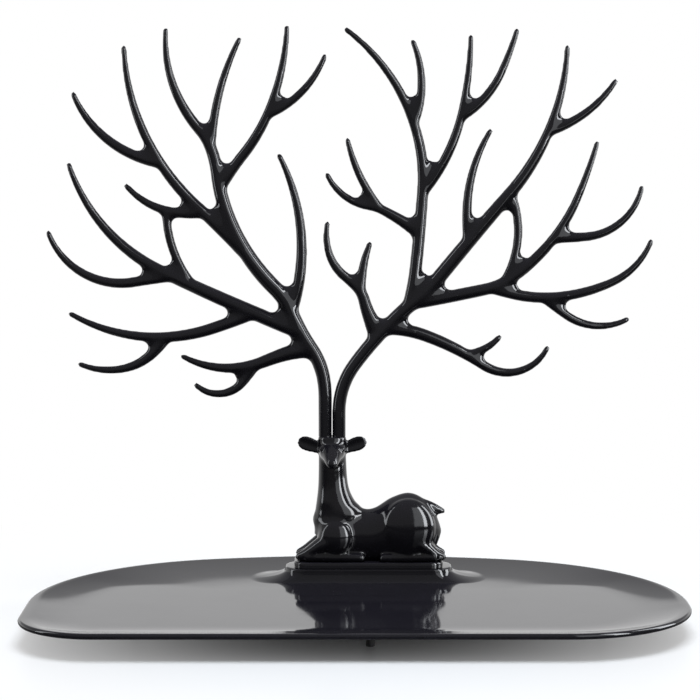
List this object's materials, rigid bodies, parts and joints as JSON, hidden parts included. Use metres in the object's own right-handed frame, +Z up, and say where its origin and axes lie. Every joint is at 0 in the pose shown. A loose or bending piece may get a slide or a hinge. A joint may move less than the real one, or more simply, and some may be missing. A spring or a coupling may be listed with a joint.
{
  "type": "jewelry tree",
  "caption": "Moulded jewelry stand: a lying deer on a shallow rounded tray, its plug-in antlers spreading into a flat tree of curved tines that necklaces, rings and bangles hang on.",
  "frame": {"origin": "on the table, under the middle of the tray", "axes": "+X to the viewer's right along the tray, +Y to the back, +Z up"},
  "size_m": [0.25, 0.146, 0.2274],
  "materials": {
    "black_gloss": "high gloss moulded",
    "foot_rubber": "matt",
    "screw_steel": "plain turned"
  },
  "bodies": {
    "stand": {"tray": "black_gloss", "deer": "black_gloss", "deer_base": "black_gloss", "base_screws": "screw_steel", "foot_front": "foot_rubber", "foot_back": "foot_rubber", "foot_left": "foot_rubber", "foot_right": "foot_rubber"},
    "left_antler": {"left_antler": "black_gloss"},
    "right_antler": {"right_antler": "black_gloss"}
  },
  "joints": [
    {"name": "left_antler_pull", "type": "slide", "parent": "stand", "child": "left_antler", "axis": [0, 0, 1], "range_m": [0, 0.018]},
    {"name": "right_antler_pull", "type": "slide", "parent": "stand", "child": "right_antler", "axis": [0, 0, 1], "range_m": [0, 0.018]}
  ]
}
